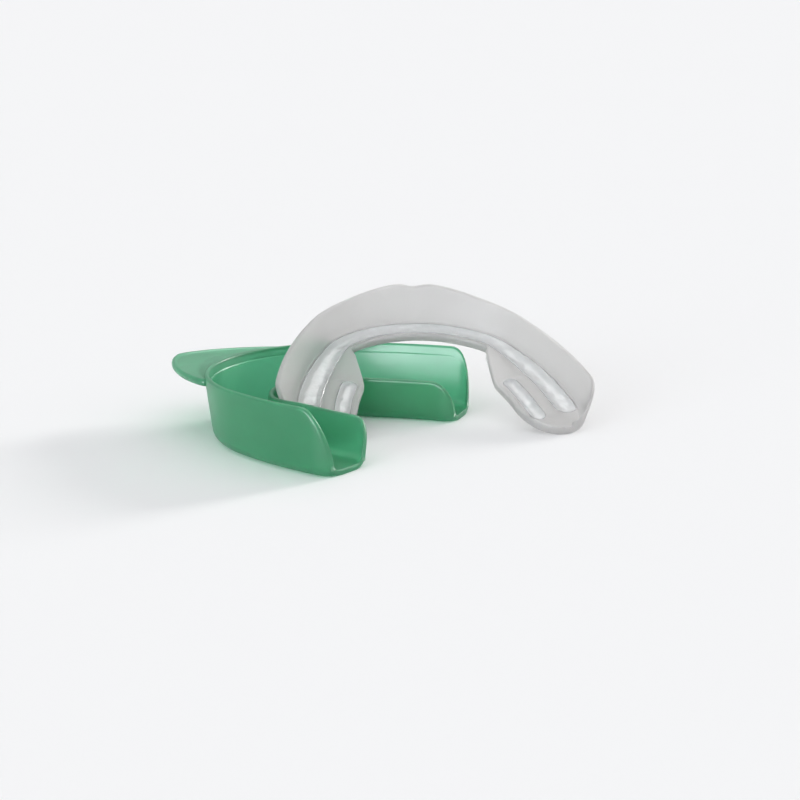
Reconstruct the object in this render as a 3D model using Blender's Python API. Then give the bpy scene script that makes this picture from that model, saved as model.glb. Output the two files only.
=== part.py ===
# Mouthguard fitting set: a U-shaped fitting tray with a grip tab, and a soft guard resting across it.
# The tray is symmetric about X = 0, its front and grip tab point to -Y and it stands on Z = 0.
# The guard is modelled flat, front to -Y and flange up, then turned and tilted into its resting pose.
# Metres and degrees, +Z up.

import math

import bmesh
import bpy
from mathutils import Matrix, Vector

for old in list(bpy.data.objects):
    bpy.data.objects.remove(old)

# Tray, in plan: a front arc, a corner arc and a side arc on each side, then a straight end
tray_front_radius = 0.0186
tray_front_turn = 32.0
tray_corner_radius = 0.0202
tray_corner_turn = 34.7
tray_side_radius = 0.0690
tray_splay = 8.8
tray_straight = 0.0045

# Tray, in section
tray_wall = 0.0011
trough_half_width = 0.0070
trough_front_inner = 0.0042
trough_rear_inner = 0.0066
trough_widen_start = 0.0140
trough_widen_length = 0.0140
trough_fillet = 0.0026
outer_wall_height = 0.0129
inner_wall_height = 0.0086
outer_wall_draft = 7.1
inner_wall_draft = 9.4

# Tray, at its two open rear ends
outer_corner_inset = 0.0002
outer_corner_length = 0.0046
inner_corner_inset = 0.0002
inner_corner_length = 0.0042
rear_corner_power = 2.2
floor_round_length = 0.0030
floor_end_share = 0.60

# Grip tab
tab_reach = 0.0114
tab_half_width = 0.0170
tab_power = 1.45
tab_plate = 0.0012
tab_bead_radius = 0.0009
tab_below_rim = 0.0013

# Guard, in plan: the foot of the outer face
guard_front_radius = 0.0306
guard_front_turn = 31.5
guard_corner_radius = 0.0160
guard_corner_turn = 23.4
guard_side_radius = 0.0570
guard_splay = 13.4
guard_straight = 0.0102
guard_end_round = 0.0100

# Guard, in section
plate_thickness = 0.0018
plate_front_width = 0.0068
plate_pad_width = 0.0143
pad_ramp_start = 0.0205
pad_ramp_length = 0.0155
pad_ramp_power = 1.4
edge_round = 0.0006
flange_root = 0.0022
flange_tip = 0.0012
flange_flare = 0.0021
flange_side_height = 0.0039
flange_front_rise = 0.0030
flange_rise_spread = 0.0140
flange_end_height = 0.0003
flange_end_length = 0.0085
notch_depth = 0.0008
notch_spread = 0.0021

# Guard, channels in the plate's upper face and the soft strips in them
channel_front_width = 0.0037
channel_pad_width = 0.0048
channel_depth = 0.0009
channel_end_inset = 0.0042
slot_width = 0.0034
slot_edge_wall = 0.0012
slot_length = 0.0165
slot_end_inset = 0.0036
strip_gap = 0.0003
strip_stand = 0.0003

# Resting pose of the guard
guard_heading = -52.45
guard_roll = -1.6
left_arm_end_x = 0.01369
left_arm_end_y = 0.01220
rest_gap = 0.0002

# The solids are worked a thousand times larger, in millimetres, and brought to metres at the end
working_scale = 1000.0
weld_distance = 0.0005

# Fineness of the swept shapes
arc_step = 3.4
fillet_steps = 4
rim_steps = 4


class Arch:
    """Half outlines of tangent arcs, mirrored about X = 0, measured by distance from the front."""

    def __init__(self, front_y, radii, turns, splay, straight):
        last_turn = 90.0 - splay - sum(turns)
        self.front_y = front_y
        self.radii = radii
        self.turns = [*turns, last_turn]
        self.straight = straight
        self.arcs = [r * math.radians(t) for r, t in zip(self.radii, self.turns)]
        self.half = sum(self.arcs) + straight

    def at(self, distance):
        """Point and outward normal at a signed distance from the front; positive is the +X side."""
        side = -1.0 if distance < 0.0 else 1.0
        left = abs(distance)
        point = Vector((0.0, self.front_y))
        heading = 0.0
        for radius, arc in zip(self.radii, self.arcs):
            used = min(left, arc)
            turn = used / radius
            start = Vector((math.sin(heading), -math.cos(heading)))
            heading += turn
            end = Vector((math.sin(heading), -math.cos(heading)))
            point = point + (end - start) * radius
            left -= used
        point = point + Vector((math.cos(heading), math.sin(heading))) * left
        normal = Vector((math.sin(heading), -math.cos(heading)))
        return Vector((side * point.x, point.y)), Vector((side * normal.x, normal.y))

    def distances(self, end_marks):
        """Even steps along the arcs, with extra marks measured from each free end."""
        keep_off = max(end_marks)
        marks = [0.0]
        travelled = 0.0
        for radius, turn, arc in zip(self.radii, self.turns, self.arcs):
            count = max(2, round(turn / arc_step))
            count = max(count, round(arc / 0.0035))
            marks += [travelled + arc * (i + 1) / count for i in range(count)]
            travelled += arc
        marks = [m for m in marks if m < self.half - keep_off - 0.0008]
        marks += [self.half - m for m in sorted(end_marks, reverse=True)]
        return [-m for m in reversed(marks)] + marks[1:]


def smooth(value):
    """Smooth step from 0 to 1."""
    value = min(1.0, max(0.0, value))
    return value * value * (3.0 - 2.0 * value)


def sweep(name, rings):
    """A closed body: the first ring is filled, then extruded from ring to ring."""
    mesh = bmesh.new()
    corners = [mesh.verts.new(Vector(point) * working_scale) for point in rings[0]]
    cap = mesh.faces.new(corners)
    first = cap
    for ring in rings[1:]:
        made = bmesh.ops.extrude_face_region(mesh, geom=[cap])
        if cap.is_valid and cap is not first:
            bmesh.ops.delete(mesh, geom=[cap], context="FACES_ONLY")
        cap = [g for g in made["geom"] if isinstance(g, bmesh.types.BMFace)][0]
        for corner, point in zip(cap.verts, ring):
            corner.co = Vector(point) * working_scale
    bmesh.ops.recalc_face_normals(mesh, faces=mesh.faces)
    data = bpy.data.meshes.new(name)
    mesh.to_mesh(data)
    mesh.free()
    body = bpy.data.objects.new(name, data)
    bpy.context.scene.collection.objects.link(body)
    return body


def ring_at(arch, distance, outline):
    """Stand a flat outline of (outward, up) points across the arch."""
    point, normal = arch.at(distance)
    return [Vector((*(point + normal * out), up)) for out, up in outline]


def tidy(body):
    """Weld stray doubles and cut the faces into triangles."""
    mesh = bmesh.new()
    mesh.from_mesh(body.data)
    bmesh.ops.remove_doubles(mesh, verts=mesh.verts, dist=weld_distance)
    bmesh.ops.dissolve_degenerate(mesh, edges=mesh.edges, dist=weld_distance)
    bmesh.ops.triangulate(mesh, faces=mesh.faces)
    mesh.to_mesh(body.data)
    mesh.free()


def combine(body, tool, operation):
    """Boolean with the exact solver; the tool is removed after it is used."""
    tidy(body)
    tidy(tool)
    modifier = body.modifiers.new(operation.lower(), "BOOLEAN")
    modifier.operation = operation
    modifier.solver = "EXACT"
    modifier.object = tool
    bpy.context.view_layer.update()
    graph = bpy.context.evaluated_depsgraph_get()
    result = bpy.data.meshes.new_from_object(body.evaluated_get(graph))
    body.modifiers.clear()
    body.data = result
    tidy(body)
    bpy.data.objects.remove(tool)


def finish(body, colour, roughness, alpha, clear):
    """Bring the solid to metres, with smooth shading and a Principled material of its own."""
    body.data.transform(Matrix.Scale(1.0 / working_scale, 4))
    for face in body.data.polygons:
        face.use_smooth = True
    body.data.materials.clear()
    material = bpy.data.materials.new(body.name)
    material.use_nodes = True
    shader = material.node_tree.nodes["Principled BSDF"]
    shader.inputs["Base Color"].default_value = (*colour, 1.0)
    shader.inputs["Roughness"].default_value = roughness
    shader.inputs["Alpha"].default_value = alpha
    shader.inputs["Transmission Weight"].default_value = clear
    body.data.materials.append(material)


tray_arch = Arch(
    0.0,
    [tray_front_radius, tray_corner_radius, tray_side_radius],
    [tray_front_turn, tray_corner_turn],
    tray_splay,
    tray_straight,
)
guard_arch = Arch(
    0.0,
    [guard_front_radius, guard_corner_radius, guard_side_radius],
    [guard_front_turn, guard_corner_turn],
    guard_splay,
    guard_straight,
)


# Fitting tray

def wall_side(half_width, height, draft):
    """One side of the trough: up the outer face, over the rim and down to the floor."""
    lean = math.radians(draft)
    up = Vector((math.sin(lean), math.cos(lean)))
    out = Vector((math.cos(lean), -math.sin(lean)))
    centre = Vector((half_width - trough_fillet, trough_fillet))
    lowest = centre.y + out.y * trough_fillet + tray_wall / 2 + 0.0002
    full = max(height, lowest)
    points = []
    for i in range(fillet_steps + 1):
        angle = -math.pi / 2 + (math.pi / 2 - lean) * i / fillet_steps
        points.append(centre + Vector((math.cos(angle), math.sin(angle))) * trough_fillet)
    climb = (full - tray_wall / 2 - points[-1].y) / up.y
    rim = points[-1] + up * climb - out * tray_wall / 2
    for i in range(rim_steps + 1):
        angle = -lean + math.pi * i / rim_steps
        points.append(rim + Vector((math.cos(angle), math.sin(angle))) * tray_wall / 2)
    inner_fillet = trough_fillet - tray_wall
    for i in range(fillet_steps + 1):
        angle = -lean - (math.pi / 2 - lean) * i / fillet_steps
        points.append(centre + Vector((math.cos(angle), math.sin(angle))) * inner_fillet)
    if height >= lowest:
        return [(p.x, p.y) for p in points]
    shrink = max(0.05, (height - tray_wall) / (lowest - tray_wall))
    return [(p.x, min(p.y, tray_wall + (p.y - tray_wall) * shrink)) for p in points]


def corner_height(full, from_end, inset, length):
    """Wall height where the rear corner rounds down to the floor, an inset before the floor ends."""
    share = min(1.0, max(0.0, (from_end - inset) / length))
    rise = (1.0 - (1.0 - share) ** rear_corner_power) ** (1.0 / rear_corner_power)
    return tray_wall + (full - tray_wall) * rise


def trough_outline(distance):
    """The trough's closed section at a distance along the arch."""
    from_end = tray_arch.half - abs(distance)
    share = min(1.0, from_end / floor_round_length)
    bulge = math.sqrt(1.0 - (1.0 - share) ** 2)
    narrowing = floor_end_share + (1.0 - floor_end_share) * bulge
    widened = smooth((abs(distance) - trough_widen_start) / trough_widen_length)
    inner_width = trough_front_inner + (trough_rear_inner - trough_front_inner) * widened
    outer = corner_height(
        outer_wall_height, from_end, outer_corner_inset, outer_corner_length
    )
    inner = corner_height(
        inner_wall_height, from_end, inner_corner_inset, inner_corner_length
    )
    labial = wall_side(trough_half_width * narrowing, outer, outer_wall_draft)
    lingual = wall_side(inner_width * narrowing, inner, inner_wall_draft)
    return labial + [(-out, up) for out, up in reversed(lingual)]


tray_end_marks = [0.0, 0.0003, 0.0005, 0.0009, 0.0014, 0.0020, 0.0028]
tray_end_marks += [0.0036, 0.0045, 0.0055, 0.0066]
tray_rings = [
    ring_at(tray_arch, d, trough_outline(d))
    for d in tray_arch.distances(tray_end_marks)
]
fitting_tray = sweep("fitting_tray", tray_rings)

# Grip tab: a plate and a rounded border, both rooted inside the front wall
tab_level = outer_wall_height - tab_below_rim
wall_centre = (
    trough_half_width
    + tab_level * math.tan(math.radians(outer_wall_draft))
    - tray_wall / 2
)
tab_root_y = -wall_centre
tab_tip_y = -(wall_centre + tray_wall / 2 + tab_reach)


def wall_centre_at(across):
    """Y of the front wall's middle at a given X, by walking along the arch."""
    low, high = 0.0, tray_arch.half
    for _ in range(40):
        middle = (low + high) / 2
        point, normal = tray_arch.at(middle)
        if point.x + normal.x * wall_centre < abs(across):
            low = middle
        else:
            high = middle
    point, normal = tray_arch.at(low)
    return point.y + normal.y * wall_centre


tab_end_y = wall_centre_at(tab_half_width)


def tab_edge(turn):
    """Outer edge of the tab: a pointed oval from one root end, round the tip, to the other."""
    across = tab_half_width * math.copysign(abs(math.sin(turn)) ** (2 / tab_power), math.sin(turn))
    along = (tab_end_y - tab_tip_y) * abs(math.cos(turn)) ** (2 / tab_power)
    return Vector((across, tab_end_y - along))


edge_count = 28
edge_line = [tab_edge(math.pi / 2 * (2 * i / edge_count - 1)) for i in range(edge_count + 1)]
plate_rings = []
for edge in edge_line[1:-1]:
    root = Vector((edge.x * 0.97, wall_centre_at(edge.x * 0.97)))
    low = tab_level - tab_plate / 2
    high = tab_level + tab_plate / 2
    plate_rings.append([(*root, low), (*edge, low), (*edge, high), (*root, high)])
tab_body = sweep("tab_plate", plate_rings)
bead_rings = []
bead_sides = 10
for index in range(1, edge_count):
    ahead = (edge_line[index + 1] - edge_line[index - 1]).normalized()
    sideways = Vector((ahead.y, -ahead.x))
    ring = []
    for i in range(bead_sides):
        angle = 2 * math.pi * i / bead_sides
        flat = edge_line[index] + sideways * math.cos(angle) * tab_bead_radius
        ring.append((*flat, tab_level + math.sin(angle) * tab_bead_radius))
    bead_rings.append(ring)
bead_body = sweep("tab_bead", bead_rings)
combine(tab_body, bead_body, "UNION")
combine(fitting_tray, tab_body, "UNION")
finish(fitting_tray, (0.08, 0.55, 0.32), 0.35, 0.9, 0.5)


# Guard

def pad_share(distance):
    """0 along the narrow front, 1 on the wide pads, with a distinct corner where the pad starts."""
    left = 1.0 - (abs(distance) - pad_ramp_start) / pad_ramp_length
    return 1.0 - min(1.0, max(0.0, left)) ** pad_ramp_power


def plate_width(distance):
    return plate_front_width + (plate_pad_width - plate_front_width) * pad_share(distance)


def flange_height(distance):
    """Low at the sides, higher in front with a notch at the middle, fading at the arm ends."""
    from_end = guard_arch.half - abs(distance)
    height = flange_side_height
    height += flange_front_rise * math.exp(-((distance / flange_rise_spread) ** 2))
    height -= notch_depth * math.exp(-((distance / notch_spread) ** 2))
    fade = smooth(from_end / flange_end_length)
    return flange_end_height + (height - flange_end_height) * fade


def shell_outline(distance):
    """Closed section: underside, outer face, flange top, inner face, plate top and inner edge."""
    width = plate_width(distance)
    height = flange_height(distance)
    top_round = flange_tip / 2
    rise = Vector((flange_flare, height + plate_thickness)).normalized()
    out = Vector((rise.y, -rise.x))
    tip = Vector((flange_flare * height / flange_side_height, height))
    tip.x = min(tip.x, flange_flare) - top_round
    points = [
        (-edge_round, -plate_thickness),
        (-edge_round * 0.3, -plate_thickness + edge_round * 0.3),
        (0.0, -plate_thickness + edge_round),
    ]
    for i in range(5):
        angle = math.atan2(out.y, out.x) + math.pi * i / 4
        points.append((tip.x + math.cos(angle) * top_round, tip.y + math.sin(angle) * top_round))
    blend = min(edge_round, height / 3)
    points += [
        (-flange_root + blend * 0.5, blend),
        (-flange_root - blend * 0.4, 0.0),
        (-width + edge_round, 0.0),
        (-width + edge_round * 0.3, -edge_round * 0.3),
        (-width, -edge_round),
        (-width, -plate_thickness + edge_round),
        (-width + edge_round * 0.3, -plate_thickness + edge_round * 0.3),
        (-width + edge_round, -plate_thickness),
    ]
    from_end = guard_arch.half - abs(distance)
    share = min(1.0, from_end / guard_end_round)
    squeeze = (1.0 - (1.0 - share) ** 2.2) ** (1.0 / 2.2)
    middle = -width / 2
    return [(middle + (out_by - middle) * squeeze, up) for out_by, up in points]


guard_end_marks = [0.00008, 0.0003, 0.0007, 0.0013, 0.0021, 0.0031, 0.0043, 0.0057, 0.0073, 0.0090]
shell_rings = [
    ring_at(guard_arch, d, shell_outline(d))
    for d in guard_arch.distances(guard_end_marks)
]
guard_shell = sweep("guard_shell", shell_rings)


def channel_body(name, start, stop, centre, half_width, low, high, crown):
    """A bar with round ends that follows the guard's arch between two distances."""
    end_turns = [math.radians(a) for a in (14, 32, 50, 70, 90)]
    start_radius = half_width(start)
    stop_radius = half_width(stop)
    marks = [(start + start_radius * (1 - math.cos(a)), math.sin(a)) for a in end_turns]
    tail = [(stop - stop_radius * (1 - math.cos(a)), math.sin(a)) for a in reversed(end_turns)]
    inner = [d for d in guard_arch.distances([0.0, 0.003, 0.006])]
    marks += [(d, 1.0) for d in inner if marks[-1][0] + 0.0008 < d < tail[0][0] - 0.0008]
    marks += tail
    rings = []
    for distance, share in marks:
        middle = centre(distance)
        half = half_width(distance) * share
        outline = [
            (middle - half * 0.75, low),
            (middle + half * 0.75, low),
            (middle + half, low + edge_round * 0.4),
            (middle + half, high - crown),
            (middle + half * 0.6, high),
            (middle - half * 0.6, high),
            (middle - half, high - crown),
            (middle - half, low + edge_round * 0.4),
        ]
        rings.append(ring_at(guard_arch, distance, outline))
    return sweep(name, rings)


def channel_half(distance):
    width = channel_front_width + (channel_pad_width - channel_front_width) * pad_share(distance)
    return width / 2


def channel_centre(distance):
    return -flange_root - channel_half(distance)


def slot_half(distance):
    return slot_width / 2


def slot_centre(distance):
    return -plate_width(distance) + slot_edge_wall + slot_width / 2


def strip_of(half_width):
    return lambda distance: half_width(distance) - strip_gap


channel_stop = guard_arch.half - channel_end_inset
slot_stop = guard_arch.half - slot_end_inset
slot_start = slot_stop - slot_length
cut_top = 0.0012
strip_low = strip_gap - channel_depth
cutter_crown = 0.0001
channel_cutter = channel_body(
    "channel_cutter",
    -channel_stop,
    channel_stop,
    channel_centre,
    channel_half,
    -channel_depth,
    cut_top,
    cutter_crown,
)
combine(guard_shell, channel_cutter, "DIFFERENCE")
for start, stop in ((slot_start, slot_stop), (-slot_stop, -slot_start)):
    slot_cutter = channel_body(
        "slot_cutter", start, stop, slot_centre, slot_half, -channel_depth, cut_top, cutter_crown
    )
    combine(guard_shell, slot_cutter, "DIFFERENCE")
channel_liner = channel_body(
    "channel_liner",
    -channel_stop + strip_gap,
    channel_stop - strip_gap,
    channel_centre,
    strip_of(channel_half),
    strip_low,
    strip_stand,
    edge_round / 2,
)
pad_inserts = []
for name, start, stop in (
    ("left_pad_insert", slot_start, slot_stop),
    ("right_pad_insert", -slot_stop, -slot_start),
):
    insert = channel_body(
        name,
        start + strip_gap,
        stop - strip_gap,
        slot_centre,
        strip_of(slot_half),
        strip_low,
        strip_stand,
        edge_round / 2,
    )
    pad_inserts.append(insert)

finish(guard_shell, (0.86, 0.88, 0.88), 0.45, 0.9, 0.6)
finish(channel_liner, (0.93, 0.96, 0.96), 0.08, 0.8, 0.8)
for insert in pad_inserts:
    finish(insert, (0.93, 0.96, 0.96), 0.08, 0.8, 0.8)


# Resting pose: both arm ends on the table, the underside just clear of the tray's far rim

shell_corners = [corner.co.copy() for corner in guard_shell.data.vertices]


def tilted(tilt):
    """Pose with the lowest underside point of the arm ends on Z = 0."""
    turn = Matrix.Rotation(math.radians(guard_heading), 4, "Z")
    lean = Matrix.Rotation(math.radians(-tilt), 4, "X")
    pose = turn @ lean @ Matrix.Rotation(math.radians(guard_roll), 4, "Y")
    lowest = min((pose @ corner).z for corner in shell_corners)
    arm_end = pose @ Vector((*guard_arch.at(guard_arch.half)[0], 0.0))
    shift = (left_arm_end_x - arm_end.x, left_arm_end_y - arm_end.y, -lowest)
    return Matrix.Translation(shift) @ pose


guard_frames = [(*guard_arch.at(d), plate_width(d)) for d in guard_arch.distances([0.0])]
cover_margin = 0.0002


def covered(place):
    """True where a point in the guard's own frame lies under its plate, seen square on."""
    flat = Vector((place.x, place.y))
    for point, normal, width in guard_frames:
        offset = (flat - point).dot(normal)
        aside = (flat - point - normal * offset).length
        if aside < 0.0015 and -width - cover_margin < offset < cover_margin:
            return True
    return False


def underside_gap(tilt):
    """Least clearance of the guard's underside above the tray walls it covers."""
    pose = tilted(tilt)
    into_guard = pose.inverted()
    gaps = [1.0]
    for ring in tray_rings:
        for corner in ring:
            place = into_guard @ Vector(corner)
            if corner[0] < 0.0 and covered(place):
                gaps.append(-plate_thickness - place.z)
    return min(gaps)


low_tilt, high_tilt = 5.0, 45.0
for _ in range(24):
    middle_tilt = (low_tilt + high_tilt) / 2
    if underside_gap(middle_tilt) < rest_gap:
        low_tilt = middle_tilt
    else:
        high_tilt = middle_tilt
guard_pose = tilted(high_tilt)
for body in (guard_shell, channel_liner, *pad_inserts):
    body.matrix_world = guard_pose
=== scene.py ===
import math

import bmesh
import bpy
from mathutils import Matrix, Vector, noise


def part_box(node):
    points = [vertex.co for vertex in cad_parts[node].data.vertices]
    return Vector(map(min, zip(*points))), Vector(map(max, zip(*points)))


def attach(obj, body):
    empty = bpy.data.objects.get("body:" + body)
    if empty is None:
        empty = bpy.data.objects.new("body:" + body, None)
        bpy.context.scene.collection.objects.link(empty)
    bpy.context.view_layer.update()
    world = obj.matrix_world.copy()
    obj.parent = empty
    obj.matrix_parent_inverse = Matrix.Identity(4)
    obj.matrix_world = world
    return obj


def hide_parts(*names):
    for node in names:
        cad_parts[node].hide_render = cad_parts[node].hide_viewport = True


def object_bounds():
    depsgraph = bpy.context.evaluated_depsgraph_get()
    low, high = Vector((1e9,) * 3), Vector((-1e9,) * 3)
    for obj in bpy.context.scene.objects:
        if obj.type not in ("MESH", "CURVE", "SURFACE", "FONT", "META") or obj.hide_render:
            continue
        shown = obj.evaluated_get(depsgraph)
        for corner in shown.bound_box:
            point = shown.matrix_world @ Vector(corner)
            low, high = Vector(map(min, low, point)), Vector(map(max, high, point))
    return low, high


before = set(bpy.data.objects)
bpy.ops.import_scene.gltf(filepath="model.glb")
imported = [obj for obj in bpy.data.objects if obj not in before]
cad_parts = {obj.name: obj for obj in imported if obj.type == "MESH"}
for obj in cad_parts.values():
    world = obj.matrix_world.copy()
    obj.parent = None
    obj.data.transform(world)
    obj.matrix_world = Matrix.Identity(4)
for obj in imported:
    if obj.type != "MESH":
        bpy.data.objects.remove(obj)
cadLow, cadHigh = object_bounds()
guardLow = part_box("guard_shell")[0]
print("frame loaded:", sorted(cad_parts))

# Studio: floor, sky and lamps. Angles are in degrees, round the object

studio = {
    "floorSize": 60.0,
    "floorDrop": 0.00002,     # keeps the floor just clear of the object's base
    "floorColour": (0.925, 0.925, 0.928),
    "horizonColour": (0.45, 0.45, 0.46),
    "zenithColour": (0.86, 0.86, 0.87),
    "skyStrength": 0.93,
    "keyAzimuth": 247.0,      # low sun behind the object, on the camera's right
    "keyHeight": 17.0,
    "keySoftness": 16.0,
    "keyColour": (1.0, 0.99, 0.97),
    "keyStrength": 1.8,
    "fillAzimuth": 80.0,      # broad panel beside the camera, on its left
    "fillHeight": 13.0,
    "fillSoftness": 34.0,
    "fillColour": (0.86, 0.94, 1.0),
    "fillStrength": 0.95,
}

camera = {
    "azimuth": 118.0,
    "elevation": 13.5,
    "distance": 0.365,
    "lens": 77.3,
    "sensor": 36.0,
    "aimX": -0.0250,          # from the middle of the object
    "aimY": -0.0046,
}


def around(azimuth, elevation):
    # direction from the object towards a place at this azimuth and elevation
    a = math.radians(azimuth)
    e = math.radians(elevation)
    return Vector((math.sin(a) * math.cos(e), -math.cos(a) * math.cos(e), math.sin(e)))


# Shared modelling helpers

def smoothStep(value):
    value = min(1.0, max(0.0, value))
    return value * value * (3.0 - 2.0 * value)


def archLength(arch):
    turned = sum(turn for radius, turn in arch["arcs"])
    lastTurn = 90.0 - arch["splay"] - turned
    length = sum(radius * math.radians(turn) for radius, turn in arch["arcs"])
    return length + arch["sideRadius"] * math.radians(lastTurn) + arch["straight"]


def archPlace(arch, distance):
    # point and outward direction on the arch, by signed distance from the front
    side = -1.0 if distance < 0.0 else 1.0
    left = abs(distance)
    turned = sum(turn for radius, turn in arch["arcs"])
    arcs = list(arch["arcs"]) + [(arch["sideRadius"], 90.0 - arch["splay"] - turned)]
    point = Vector((0.0, 0.0))
    heading = 0.0
    for radius, turn in arcs:
        used = min(left, radius * math.radians(turn))
        start = Vector((math.sin(heading), -math.cos(heading)))
        heading += used / radius
        point += (Vector((math.sin(heading), -math.cos(heading))) - start) * radius
        left -= used
    point += Vector((math.cos(heading), math.sin(heading))) * left
    outward = Vector((math.sin(heading), -math.cos(heading)))
    return Vector((side * point.x, point.y)), Vector((side * outward.x, outward.y))


def archStations(piece, extra=()):
    # signed distances along an arch: even steps, finer ones towards both ends, and extra marks
    half = archLength(piece)
    spacing = piece["spacing"]
    endFan = piece["endFan"]
    fanSteps = 16
    lastInset = 0.00003
    leastStep = 0.00002
    marks = [i * spacing for i in range(int((half - endFan) / spacing) + 1)]
    marks += [half - endFan * (1.0 - i / fanSteps) ** 2.0 for i in range(fanSteps)]
    marks += [half - lastInset]
    marks += list(extra)
    marks = sorted(m for m in marks if 0.0 <= m < half)
    kept = [marks[0]]
    for mark in marks[1:]:
        if mark - kept[-1] > leastStep:
            kept.append(mark)
    return [-m for m in reversed(kept[1:])] + kept


def sweepRings(name, rings):
    # one closed skin: the first ring is filled, then its face is extruded from ring to ring
    skin = bmesh.new()
    cap = skin.faces.new([skin.verts.new(corner) for corner in rings[0]])
    firstCap = cap
    for ring in rings[1:]:
        made = bmesh.ops.extrude_face_region(skin, geom=[cap])
        if cap is not firstCap and cap.is_valid:
            bmesh.ops.delete(skin, geom=[cap], context="FACES_ONLY")
        cap = [g for g in made["geom"] if isinstance(g, bmesh.types.BMFace)][0]
        for corner, place in zip(cap.verts, ring):
            corner.co = place
    bmesh.ops.recalc_face_normals(skin, faces=skin.faces)
    return skinObject(name, skin)


def skinObject(name, skin):
    data = bpy.data.meshes.new(name)
    skin.to_mesh(data)
    skin.free()
    for face in data.polygons:
        face.use_smooth = True
    piece = bpy.data.objects.new(name, data)
    bpy.context.scene.collection.objects.link(piece)
    return piece


def acrossArch(arch, distance, section):
    point, outward = archPlace(arch, distance)
    return [Vector((*(point + outward * out), up)) for out, up in section]


# Materials

def plastic(name, settings):
    # one moulded plastic: mottled colour, uneven gloss and a fine surface texture
    material = bpy.data.materials.new(name)
    material.use_nodes = True
    tree = material.node_tree
    nodes = tree.nodes
    shader = nodes["Principled BSDF"]
    shader.inputs["IOR"].default_value = settings["ior"]
    shader.inputs["Transmission Weight"].default_value = settings["clear"]
    shader.inputs["Subsurface Weight"].default_value = settings["milky"]
    shader.inputs["Subsurface Scale"].default_value = settings["milkDepth"]
    shader.inputs["Subsurface Radius"].default_value = settings["milkSpread"]
    shader.inputs["Coat Weight"].default_value = settings["coat"]
    shader.inputs["Coat Roughness"].default_value = settings["coatRoughness"]
    place = nodes.new("ShaderNodeTexCoord")

    mottle = nodes.new("ShaderNodeTexNoise")
    mottle.inputs["Scale"].default_value = settings["mottleScale"]
    mottle.inputs["Detail"].default_value = 4.0
    tree.links.new(place.outputs["Object"], mottle.inputs["Vector"])
    tint = nodes.new("ShaderNodeValToRGB")
    tint.color_ramp.elements[0].position = 0.3
    tint.color_ramp.elements[0].color = (*settings["darkTint"], 1.0)
    tint.color_ramp.elements[1].position = 0.7
    tint.color_ramp.elements[1].color = (*settings["lightTint"], 1.0)
    tree.links.new(mottle.outputs["Fac"], tint.inputs["Fac"])
    tree.links.new(tint.outputs["Color"], shader.inputs["Base Color"])

    frost = nodes.new("ShaderNodeTexNoise")
    frost.inputs["Scale"].default_value = settings["frostScale"]
    frost.inputs["Detail"].default_value = 6.0
    frost.inputs["Roughness"].default_value = 0.6
    tree.links.new(place.outputs["Object"], frost.inputs["Vector"])
    gloss = nodes.new("ShaderNodeMapRange")
    gloss.inputs["From Min"].default_value = 0.3
    gloss.inputs["From Max"].default_value = 0.7
    gloss.inputs["To Min"].default_value = settings["smoothest"]
    gloss.inputs["To Max"].default_value = settings["roughest"]
    tree.links.new(frost.outputs["Fac"], gloss.inputs["Value"])
    tree.links.new(gloss.outputs["Result"], shader.inputs["Roughness"])

    wave = nodes.new("ShaderNodeTexNoise")
    wave.inputs["Scale"].default_value = settings["waveScale"]
    wave.inputs["Detail"].default_value = 2.0
    tree.links.new(place.outputs["Object"], wave.inputs["Vector"])
    waveBump = nodes.new("ShaderNodeBump")
    waveBump.inputs["Strength"].default_value = settings["waveStrength"]
    waveBump.inputs["Distance"].default_value = settings["waveHeight"]
    tree.links.new(wave.outputs["Fac"], waveBump.inputs["Height"])
    grainBump = nodes.new("ShaderNodeBump")
    grainBump.inputs["Strength"].default_value = settings["grainStrength"]
    grainBump.inputs["Distance"].default_value = settings["grainHeight"]
    tree.links.new(frost.outputs["Fac"], grainBump.inputs["Height"])
    tree.links.new(waveBump.outputs["Normal"], grainBump.inputs["Normal"])
    tree.links.new(grainBump.outputs["Normal"], shader.inputs["Normal"])
    return material


trayPlastic = plastic("frostedGreenPlastic", {
    "ior": 1.42, "clear": 0.72, "milky": 0.0, "milkDepth": 0.001, "milkSpread": (0.5, 1.0, 0.7),
    "coat": 0.0, "coatRoughness": 0.25,
    "mottleScale": 90.0, "darkTint": (0.108, 0.490, 0.275), "lightTint": (0.130, 0.535, 0.305),
    "frostScale": 260.0, "smoothest": 0.34, "roughest": 0.40,
    "waveScale": 160.0, "waveStrength": 0.25, "waveHeight": 0.0003,
    "grainStrength": 0.0, "grainHeight": 0.000004,
})

shellPlastic = plastic("frostedClearPlastic", {
    "ior": 1.22, "clear": 0.62, "milky": 1.0, "milkDepth": 0.001, "milkSpread": (1.0, 1.0, 1.0),
    "coat": 0.0, "coatRoughness": 0.2,
    "mottleScale": 120.0, "darkTint": (0.700, 0.692, 0.680), "lightTint": (0.730, 0.724, 0.712),
    "frostScale": 300.0, "smoothest": 0.44, "roughest": 0.50,
    "waveScale": 150.0, "waveStrength": 0.15, "waveHeight": 0.0002,
    "grainStrength": 0.05, "grainHeight": 0.00001,
})

stripPlastic = plastic("glossyClearPlastic", {
    "ior": 1.18, "clear": 0.55, "milky": 1.0, "milkDepth": 0.001, "milkSpread": (1.0, 1.0, 1.0),
    "coat": 0.30, "coatRoughness": 0.10,
    "mottleScale": 160.0, "darkTint": (0.900, 0.940, 0.925), "lightTint": (0.975, 0.990, 0.980),
    "frostScale": 300.0, "smoothest": 0.10, "roughest": 0.18,
    "waveScale": 420.0, "waveStrength": 0.55, "waveHeight": 0.0004,
    "grainStrength": 0.10, "grainHeight": 0.00005,
})

# Fitting tray: a U-shaped trough with an open rear end on each arm

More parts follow.
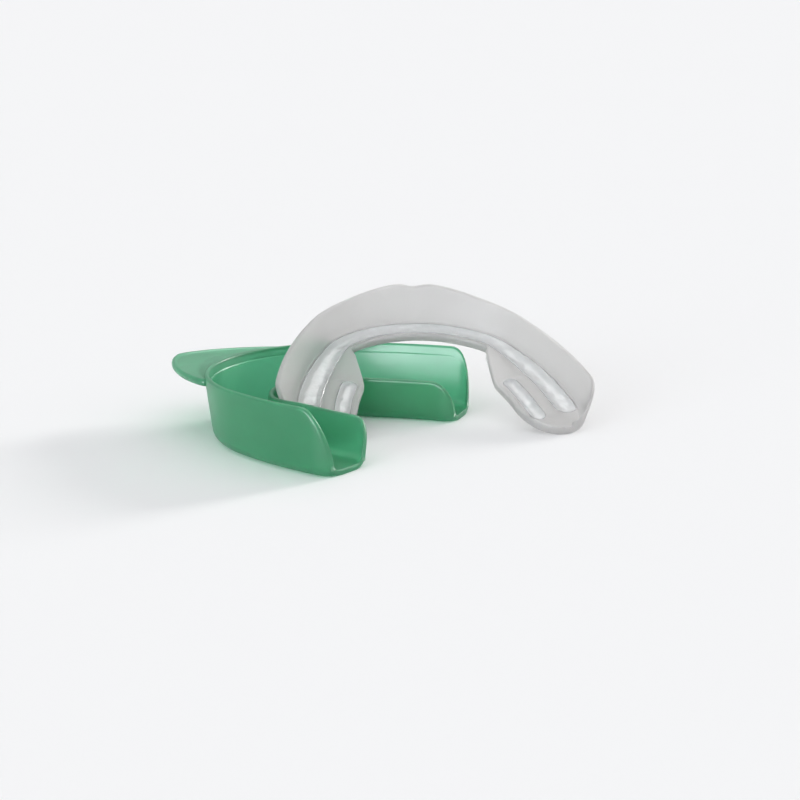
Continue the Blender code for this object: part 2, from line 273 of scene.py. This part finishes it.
tray = {
    "arcs": ((0.0186, 32.0), (0.0202, 34.7)),
    "sideRadius": 0.0690,
    "splay": 8.8,
    "straight": 0.0045,
    "wall": 0.0011,
    "outerWidth": 0.0070,
    "innerWidthFront": 0.0042,
    "innerWidthRear": 0.0066,
    "widenStart": 0.0140,
    "widenLength": 0.0140,
    "fillet": 0.0026,
    "outerHeight": 0.0129,
    "innerHeight": 0.0086,
    "outerDraft": 7.1,
    "innerDraft": 9.4,
    "outerInset": 0.0002,
    "outerCorner": 0.0046,
    "innerInset": 0.0002,
    "innerCorner": 0.0042,
    "cornerSteps": (0.0, 0.00003, 0.0001, 0.00022, 0.0004, 0.0007),
    "cornerPower": 2.2,
    "floorRound": 0.0030,
    "floorEndShare": 0.60,
    "lipDepth": 0.0015,       # a thinner lip runs along the inside of the outer wall's rim
    "lipThinning": 0.00012,
    "lipStart": 0.012,        # how far from each rear end the lip reaches its full depth
    "steps": 8,               # round each fillet and rim
    "spacing": 0.0007,
    "endFan": 0.0075,
}


def troughSide(halfWidth, height, draft, lipThinning):
    # up the outer face, over the rim, down past the lip's ledge and round to the floor
    wall = tray["wall"]
    fillet = tray["fillet"]
    lean = math.radians(draft)
    up = Vector((math.sin(lean), math.cos(lean)))
    out = Vector((math.cos(lean), -math.sin(lean)))
    centre = Vector((halfWidth - fillet, fillet))
    lowest = centre.y + out.y * fillet + wall / 2 + 0.0002
    full = max(height, lowest)
    steps = tray["steps"]
    points = []
    for i in range(steps + 1):
        angle = -math.pi / 2 + (math.pi / 2 - lean) * i / steps
        points.append(centre + Vector((math.cos(angle), math.sin(angle))) * fillet)
    foot = points[-1]
    rimRadius = (wall - lipThinning) / 2
    climb = (full - rimRadius - foot.y) / up.y
    for i in range(1, 5):
        points.append(foot + up * climb * i / 5)
    rim = foot + up * climb - out * rimRadius
    for i in range(steps + 1):
        angle = -lean + math.pi * i / steps
        points.append(rim + Vector((math.cos(angle), math.sin(angle))) * rimRadius)
    inside = foot - out * wall
    lipDepth = min(tray["lipDepth"], climb * 0.5)
    ledge = climb - lipDepth
    points.append(inside + up * (ledge + min(0.00018, lipDepth * 0.3)) + out * lipThinning)
    points.append(inside + up * (ledge + min(0.00008, lipDepth * 0.1)) + out * lipThinning * 0.85)
    points.append(inside + up * ledge + out * lipThinning * 0.15)
    points.append(inside + up * (ledge - min(0.00012, ledge * 0.1)))
    for i in (3, 2, 1):
        points.append(inside + up * ledge * 0.9 * i / 4)
    for i in range(steps + 1):
        angle = -lean - (math.pi / 2 - lean) * i / steps
        points.append(centre + Vector((math.cos(angle), math.sin(angle))) * (fillet - wall))
    if height >= lowest:
        return [(p.x, p.y) for p in points]
    shrink = max(0.05, (height - wall) / (lowest - wall))
    return [(p.x, min(p.y, wall + (p.y - wall) * shrink)) for p in points]


def cornerHeight(full, fromEnd, inset, length):
    share = min(1.0, max(0.0, (fromEnd - inset) / length))
    rise = (1.0 - (1.0 - share) ** tray["cornerPower"]) ** (1.0 / tray["cornerPower"])
    return tray["wall"] + (full - tray["wall"]) * rise


def troughSection(distance):
    fromEnd = archLength(tray) - abs(distance)
    share = min(1.0, fromEnd / tray["floorRound"])
    bulge = math.sqrt(1.0 - (1.0 - share) ** 2)
    narrowing = tray["floorEndShare"] + (1.0 - tray["floorEndShare"]) * bulge
    widened = smoothStep((abs(distance) - tray["widenStart"]) / tray["widenLength"])
    innerWidth = tray["innerWidthFront"]
    innerWidth += (tray["innerWidthRear"] - tray["innerWidthFront"]) * widened
    outer = cornerHeight(tray["outerHeight"], fromEnd, tray["outerInset"], tray["outerCorner"])
    inner = cornerHeight(tray["innerHeight"], fromEnd, tray["innerInset"], tray["innerCorner"])
    lip = tray["lipThinning"] * smoothStep(fromEnd / tray["lipStart"])
    labial = troughSide(tray["outerWidth"] * narrowing, outer, tray["outerDraft"], lip)
    lingual = troughSide(innerWidth * narrowing, inner, tray["innerDraft"], 0.0)
    return labial + [(-out, up) for out, up in reversed(lingual)]


cornerMarks = []
for inset in (tray["outerInset"], tray["innerInset"]):
    cornerMarks += [archLength(tray) - inset - step for step in tray["cornerSteps"]]
trayRings = [acrossArch(tray, d, troughSection(d)) for d in archStations(tray, cornerMarks)]
trayBody = sweepRings("trayBody", trayRings)
print("tray trough:", len(trayBody.data.polygons), "faces")

# Grip tab: a thin plate with a thick rolled border, rooted in the front wall below the rim

tab = {
    "reach": 0.0114,
    "halfWidth": 0.0170,
    "power": 1.45,
    "plate": 0.0009,
    "bead": 0.00075,
    "belowRim": 0.0013,
    "rootShare": 0.94,        # the root is a little narrower than the border
    "neckShare": 1.25,
    "beadTurn": 140.0,
    "beadSteps": 8,
    "edgeSteps": 56,
}
tabLevel = tray["outerHeight"] - tab["belowRim"]
wallLean = tabLevel * math.tan(math.radians(tray["outerDraft"]))
wallMiddle = tray["outerWidth"] + wallLean - tray["wall"] / 2
tabTip = -(wallMiddle + tray["wall"] / 2 + tab["reach"])


def wallMiddleAt(across):
    # how far along the object the outer wall's middle is, at this distance across, by halving
    low, high = 0.0, archLength(tray)
    halvings = 40
    for _ in range(halvings):
        middle = (low + high) / 2
        point, outward = archPlace(tray, middle)
        if point.x + outward.x * wallMiddle < abs(across):
            low = middle
        else:
            high = middle
    point, outward = archPlace(tray, low)
    return point.y + outward.y * wallMiddle


def tabSection(index):
    # from the root under the rim, out over the plate, round the border's bead and back
    turn = math.pi / 2 * (2 * index / tab["edgeSteps"] - 1)
    rootEnd = wallMiddleAt(tab["halfWidth"])
    sine = math.sin(turn)
    across = tab["halfWidth"] * math.copysign(abs(sine) ** (2 / tab["power"]), sine)
    along = (rootEnd - tabTip) * abs(math.cos(turn)) ** (2 / tab["power"])
    edge = Vector((across, rootEnd - along))
    rootAcross = across * tab["rootShare"]
    root = Vector((rootAcross, wallMiddleAt(rootAcross)))
    reach = (edge - root).length
    ahead = (edge - root) / reach
    bead = tab["bead"]
    half = tab["plate"] / 2
    neck = math.sqrt(bead * bead - half * half)
    stop = max(0.0, reach - neck * tab["neckShare"])
    flat = [(0.0, -half), (stop * 0.5, -half), (stop, -half)]
    for i in range(tab["beadSteps"] + 1):
        angle = math.radians(2 * tab["beadTurn"] * i / tab["beadSteps"] - tab["beadTurn"])
        flat.append((max(stop, reach + math.cos(angle) * bead), math.sin(angle) * bead))
    flat += [(stop, half), (stop * 0.5, half), (0.0, half)]
    return [Vector((*(root + ahead * s), tabLevel + z)) for s, z in flat]


tabBody = sweepRings("tabBody", [tabSection(i) for i in range(1, tab["edgeSteps"])])


def joinSolids(body, tool):
    # union of two closed skins, with the seam welded
    weld = 0.000002
    modifier = body.modifiers.new("join", "BOOLEAN")
    modifier.operation = "UNION"
    modifier.solver = "EXACT"
    modifier.object = tool
    graph = bpy.context.evaluated_depsgraph_get()
    joined = bpy.data.meshes.new_from_object(body.evaluated_get(graph))
    body.modifiers.clear()
    body.data = joined
    bpy.data.objects.remove(tool)
    skin = bmesh.new()
    skin.from_mesh(joined)
    bmesh.ops.remove_doubles(skin, verts=skin.verts, dist=weld)
    skin.to_mesh(joined)
    skin.free()
    for face in joined.polygons:
        face.use_smooth = True


joinSolids(trayBody, tabBody)
trayBody.name = "frostedTray"
trayBody.data.materials.clear()
trayBody.data.materials.append(trayPlastic)
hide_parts("fitting_tray")
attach(trayBody, "tray")
print("tray with tab:", len(trayBody.data.polygons), "faces")

# Guard: a U-shaped plate with a flange round its outside, resting on the tray

guard = {
    "arcs": ((0.0306, 31.5), (0.0160, 23.4)),
    "sideRadius": 0.0570,
    "splay": 13.4,
    "straight": 0.0102,
    "endRound": 0.0100,
    "endPower": 2.2,
    "thickness": 0.0018,
    "frontWidth": 0.0068,
    "padWidth": 0.0143,
    "rampStart": 0.0205,
    "rampLength": 0.0155,
    "rampPower": 1.4,
    "rampBlend": 0.0005,      # rounds the corner where each pad starts
    "edgeRound": 0.0006,
    "flangeRoot": 0.0022,
    "flangeTip": 0.0012,
    "flangeFlare": 0.0021,
    "flangeSide": 0.0039,
    "flangeRise": 0.0030,
    "riseSpread": 0.0140,
    "flangeEnd": 0.0003,
    "flangeEndLength": 0.0085,
    "notchDepth": 0.0008,
    "notchSpread": 0.0021,
    "channelFront": 0.0037,
    "channelPad": 0.0048,
    "grooveDepth": 0.00085,
    "channelInset": 0.0042,
    "slotWidth": 0.0034,
    "slotWall": 0.0012,
    "slotLength": 0.0165,
    "slotInset": 0.0036,
    "channelShift": 0.0001,   # ground left between the flange's root and the channel
    "grooveApart": 0.0003,    # least ground between the channel and a slot
    "bowlPower": 2.4,
    "grooveSteps": 16,
    "edgeSteps": 6,
    "crestSteps": 8,
    "rampSamples": 3,
    "spacing": 0.0006,
    "endFan": 0.0110,
}

guardPlace = {
    "heading": -52.45,
    "tilt": 21.92,
    "roll": -1.6,
    "leftArmEnd": (0.01369, 0.01220),
}
guardHalf = archLength(guard)
channelStop = guardHalf - guard["channelInset"]
slotStop = guardHalf - guard["slotInset"]
slotStart = slotStop - guard["slotLength"]


def padShare(distance):
    # 0 along the narrow front, 1 on the wide pads, with a distinct corner where the pad starts
    samples = guard["rampSamples"]
    total = 0.0
    for step in range(-samples, samples + 1):
        place = abs(distance) + guard["rampBlend"] * step / samples
        left = 1.0 - (place - guard["rampStart"]) / guard["rampLength"]
        total += 1.0 - min(1.0, max(0.0, left)) ** guard["rampPower"]
    return total / (2 * samples + 1)


def plateWidth(distance):
    return guard["frontWidth"] + (guard["padWidth"] - guard["frontWidth"]) * padShare(distance)


def flangeHeight(distance):
    fromEnd = guardHalf - abs(distance)
    height = guard["flangeSide"]
    height += guard["flangeRise"] * math.exp(-((distance / guard["riseSpread"]) ** 2))
    height -= guard["notchDepth"] * math.exp(-((distance / guard["notchSpread"]) ** 2))
    fade = smoothStep(fromEnd / guard["flangeEndLength"])
    return guard["flangeEnd"] + (height - guard["flangeEnd"]) * fade


def channelHalf(distance):
    widening = (guard["channelPad"] - guard["channelFront"]) * padShare(distance)
    return (guard["channelFront"] + widening) / 2


def roundEnd(toStop, half):
    # share of the full half width near a round end
    if toStop <= 0.0:
        return 0.0
    share = min(1.0, toStop / half)
    return math.sqrt(max(0.0, 1.0 - (1.0 - share) ** 2))


def bowl(side):
    # share of a groove's depth across its width: 0 at the lips, 1 along the middle
    return max(0.0, 1.0 - abs(side) ** guard["bowlPower"])


def grooveSides():
    # places across a groove, from 1 at its outer lip to -1 at its inner lip
    return [1.0 - 2.0 * i / guard["grooveSteps"] for i in range(guard["grooveSteps"] + 1)]


def groove(middle, half, depth):
    return [(middle + half * side, -depth * bowl(side)) for side in grooveSides()]


def thirds(start, stop):
    # the two points that split a straight line in three
    return [tuple(a + (b - a) * i / 3 for a, b in zip(start, stop)) for i in (1, 2)]


def shellSection(distance):
    # up the outside, over the flange, across the plate's grooves and round its inner edge
    width = plateWidth(distance)
    height = flangeHeight(distance)
    thick = guard["thickness"]
    edge = guard["edgeRound"]
    fromEnd = guardHalf - abs(distance)
    share = min(1.0, fromEnd / guard["endRound"])
    squeeze = (1.0 - (1.0 - share) ** guard["endPower"]) ** (1.0 / guard["endPower"])
    middle = -width / 2

    def squeezed(points):
        return [(middle + (out - middle) * squeeze, up) for out, up in points]

    topRound = guard["flangeTip"] / 2
    rise = Vector((guard["flangeFlare"], height + thick)).normalized()
    side = Vector((rise.y, -rise.x))
    tip = Vector((guard["flangeFlare"] * height / guard["flangeSide"], height))
    tip.x = min(tip.x, guard["flangeFlare"]) - topRound
    outside = []
    for i in range(6):
        angle = -math.pi / 2 + math.pi / 2 * i / 5
        outside.append((-edge + math.cos(angle) * edge, -thick + edge + math.sin(angle) * edge))
    crest = []
    for i in range(guard["crestSteps"] + 1):
        angle = math.atan2(side.y, side.x) + math.pi * i / guard["crestSteps"]
        crest.append((tip.x + math.cos(angle) * topRound, tip.y + math.sin(angle) * topRound))
    foot = outside[-1]
    outside += thirds(foot, crest[0])
    blend = min(edge, height / 3)
    root = []
    for i in range(5):
        share = i / 4
        root.append((
            -guard["flangeRoot"] + blend * (0.5 - 0.9 * (1.0 - math.cos(math.pi / 2 * share))),
            blend * (1.0 - math.sin(math.pi / 2 * share)),
        ))
    labial = squeezed(outside + crest + thirds(crest[-1], root[0]) + root)

    half = channelHalf(distance)
    channelMiddle = -guard["flangeRoot"] - half - guard["channelShift"]
    channelEnd = roundEnd(channelStop - abs(distance), half)
    slotHalf = guard["slotWidth"] / 2
    slotMiddle = -width + guard["slotWall"] + slotHalf
    slotMiddle = min(slotMiddle, channelMiddle - half - guard["grooveApart"])
    slotEnd = roundEnd(min(slotStop - abs(distance), abs(distance) - slotStart), slotHalf)
    if channelEnd == 0.0:
        channelMiddle = middle + (channelMiddle - middle) * squeeze
    if slotEnd == 0.0:
        slotMiddle = middle + (slotMiddle - middle) * squeeze
    grooves = groove(channelMiddle, half * channelEnd, guard["grooveDepth"] * channelEnd)
    grooves += groove(slotMiddle, slotHalf * slotEnd, guard["grooveDepth"] * slotEnd)

    rim = []
    for start, level in ((math.pi / 2, -edge), (math.pi, edge - thick)):
        for i in range(guard["edgeSteps"] + 1):
            angle = start + math.pi / 2 * i / guard["edgeSteps"]
            rim.append((edge - width + math.cos(angle) * edge, level + math.sin(angle) * edge))
    return labial + grooves + squeezed(rim)


nearEnd = [0.0, 0.00008, 0.0002, 0.00035, 0.0006, 0.0009, 0.0013]   # rings just inside a groove's end
justPast = 0.00006
marks = []
for stop, sign in ((channelStop, -1), (slotStop, -1), (slotStart, 1)):
    marks += [stop + sign * m for m in nearEnd] + [stop - sign * justPast]
shellRings = [acrossArch(guard, d, shellSection(d)) for d in archStations(guard, marks)]
shell = sweepRings("guardShell", shellRings)

turned = Matrix.Rotation(math.radians(guardPlace["heading"]), 4, "Z")
turned = turned @ Matrix.Rotation(math.radians(-guardPlace["tilt"]), 4, "X")
turned = turned @ Matrix.Rotation(math.radians(guardPlace["roll"]), 4, "Y")
armEnd = turned @ Vector((*archPlace(guard, guardHalf)[0], 0.0))
lowPoint = min((turned @ corner.co).z for corner in shell.data.vertices)
shift = (
    guardPlace["leftArmEnd"][0] - armEnd.x,
    guardPlace["leftArmEnd"][1] - armEnd.y,
    guardLow.z - lowPoint,
)
guardMatrix = Matrix.Translation(shift) @ turned
shell.data.transform(guardMatrix)
shell.data.materials.append(shellPlastic)
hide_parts("guard_shell")
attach(shell, "guard")
print("guard shell:", len(shell.data.polygons), "faces")

# Glossy strips: clear soft lining in the long channel and in the two pad slots, dished along the middle

strip = {
    "gap": 0.00002,
    "film": 0.00022,
    "waviness": 0.00010,
    "waveLength": 0.0014,
    "edgePower": 6,           # the film thins out close to the groove's lips
    "fullDepth": 0.0003,
    "endTurns": (6, 12, 19, 27, 36, 46, 57, 68, 79, 90),
    "spacing": 0.0004,
}


def stripBody(name, start, stop, middleAt, halfAt):
    # a thin, slightly wavy film that follows the dish of a groove, with round ends
    half = halfAt((start + stop) / 2)
    count = int((stop - start) / strip["spacing"])
    marks = [start + (stop - start) * i / count for i in range(1, count)]
    fan = [half * (1.0 - math.cos(math.radians(a))) for a in strip["endTurns"]]
    marks = [m for m in marks if start + half < m < stop - half]
    marks = [start + f for f in fan] + marks + [stop - f for f in reversed(fan)]
    rings = []
    for distance in marks:
        toEnd = min(distance - start, stop - distance)
        width = halfAt(distance) * roundEnd(toEnd, half)
        middle = middleAt(distance)
        depth = guard["grooveDepth"] * roundEnd(toEnd, half)
        under = []
        over = []
        for side in grooveSides():
            ripple = noise.noise(Vector((distance, side * width, 0.0)) / strip["waveLength"])
            film = strip["film"] + strip["waviness"] * ripple
            floorLevel = -depth * bowl(side) + strip["gap"]
            under.append((middle + width * side, floorLevel))
            if abs(side) < 1.0:
                thickness = film * (1.0 - side ** strip["edgePower"])
                thickness *= min(1.0, depth / strip["fullDepth"])
                over.append((middle + width * side, floorLevel + thickness))
        rings.append(acrossArch(guard, distance, under + over[::-1]))
    piece = sweepRings(name, rings)
    piece.data.transform(guardMatrix)
    piece.data.materials.append(stripPlastic)
    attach(piece, "guard")
    print(name + ":", len(piece.data.polygons), "faces")
    return piece


def channelMiddleAt(distance):
    return -guard["flangeRoot"] - channelHalf(distance) - guard["channelShift"]


def channelFill(distance):
    return channelHalf(distance) - strip["gap"]


def slotMiddleAt(distance):
    return -plateWidth(distance) + guard["slotWall"] + guard["slotWidth"] / 2


def slotFill(distance):
    return guard["slotWidth"] / 2 - strip["gap"]


gap = strip["gap"]
lining = ("channelLining", gap - channelStop, channelStop - gap, channelMiddleAt, channelFill)
liner = stripBody(*lining)
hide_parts("channel_liner")
leftInsert = stripBody("leftPadLining", slotStart + gap, slotStop - gap, slotMiddleAt, slotFill)
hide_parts("left_pad_insert")
rightInsert = stripBody("rightPadLining", -slotStop + gap, -slotStart - gap, slotMiddleAt, slotFill)
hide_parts("right_pad_insert")

# Floor, sky, lamps and camera

floorSkin = bmesh.new()
bmesh.ops.create_grid(floorSkin, x_segments=2, y_segments=2, size=studio["floorSize"] / 2)
floor = skinObject("floor", floorSkin)
floor.data.transform(Matrix.Translation((0.0, 0.0, min(0.0, cadLow.z) - studio["floorDrop"])))
floorPaint = bpy.data.materials.new("paleFloor")
floorPaint.use_nodes = True
floorShader = floorPaint.node_tree.nodes["Principled BSDF"]
floorShader.inputs["Base Color"].default_value = (*studio["floorColour"], 1.0)
floorShader.inputs["Roughness"].default_value = 1.0
floorShader.inputs["Specular IOR Level"].default_value = 0.0
floor.data.materials.append(floorPaint)

sky = bpy.data.worlds.new("studioSky")
sky.use_nodes = True
skyLight = sky.node_tree.nodes["Background"]
skyLight.inputs["Strength"].default_value = studio["skyStrength"]
skyPlace = sky.node_tree.nodes.new("ShaderNodeTexCoord")
skySplit = sky.node_tree.nodes.new("ShaderNodeSeparateXYZ")
skyRamp = sky.node_tree.nodes.new("ShaderNodeValToRGB")
skyRamp.color_ramp.elements[0].position = 0.0
skyRamp.color_ramp.elements[0].color = (*studio["horizonColour"], 1.0)
skyRamp.color_ramp.elements[1].position = 0.55
skyRamp.color_ramp.elements[1].color = (*studio["zenithColour"], 1.0)
sky.node_tree.links.new(skyPlace.outputs["Generated"], skySplit.inputs["Vector"])
sky.node_tree.links.new(skySplit.outputs["Z"], skyRamp.inputs["Fac"])
sky.node_tree.links.new(skyRamp.outputs["Color"], skyLight.inputs["Color"])
bpy.context.scene.world = sky


def softSun(name):
    lamp = bpy.data.lights.new(name + "Sun", "SUN")
    lamp.energy = studio[name + "Strength"]
    lamp.color = studio[name + "Colour"]
    lamp.angle = math.radians(studio[name + "Softness"])
    holder = bpy.data.objects.new(name + "Sun", lamp)
    towards = around(studio[name + "Azimuth"], studio[name + "Height"])
    holder.rotation_euler = towards.to_track_quat("Z", "Y").to_euler()
    holder.location = towards
    bpy.context.scene.collection.objects.link(holder)
    return holder


softSun("key")
softSun("fill")

# Two softboxes that show only as reflections: one low beside the camera, one high behind

softboxes = {
    "lowBox": {"azimuth": 112.0, "height": 9.0, "away": 0.5, "width": 1.10, "tall": 0.20,
               "colour": (0.90, 0.88, 0.98), "power": 15.0},
    "highBox": {"azimuth": 291.0, "height": 56.0, "away": 0.5, "width": 0.30, "tall": 0.22,
                "colour": (1.0, 1.0, 1.0), "power": 1.2},
}
middle = (cadLow + cadHigh) / 2
for name, box in softboxes.items():
    lamp = bpy.data.lights.new(name, "AREA")
    lamp.shape = "RECTANGLE"
    lamp.size = box["width"]
    lamp.size_y = box["tall"]
    lamp.energy = box["power"]
    lamp.color = box["colour"]
    holder = bpy.data.objects.new(name, lamp)
    towards = around(box["azimuth"], box["height"])
    holder.location = middle + towards * box["away"]
    holder.rotation_euler = towards.to_track_quat("Z", "Y").to_euler()
    holder.visible_diffuse = False
    holder.visible_transmission = False
    bpy.context.scene.collection.objects.link(holder)

lens = bpy.data.cameras.new("mainCamera")
lens.lens = camera["lens"]
lens.sensor_width = camera["sensor"]
lens.clip_start = 0.01
lens.clip_end = 200.0
viewer = bpy.data.objects.new("mainCamera", lens)
bpy.context.scene.collection.objects.link(viewer)
aim = Vector((middle.x + camera["aimX"], middle.y + camera["aimY"], cadLow.z))
back = around(camera["azimuth"], camera["elevation"])
viewer.location = aim + back * camera["distance"]
viewer.rotation_euler = back.to_track_quat("Z", "Y").to_euler()
bpy.context.scene.camera = viewer
bpy.context.scene.view_settings.view_transform = "Standard"
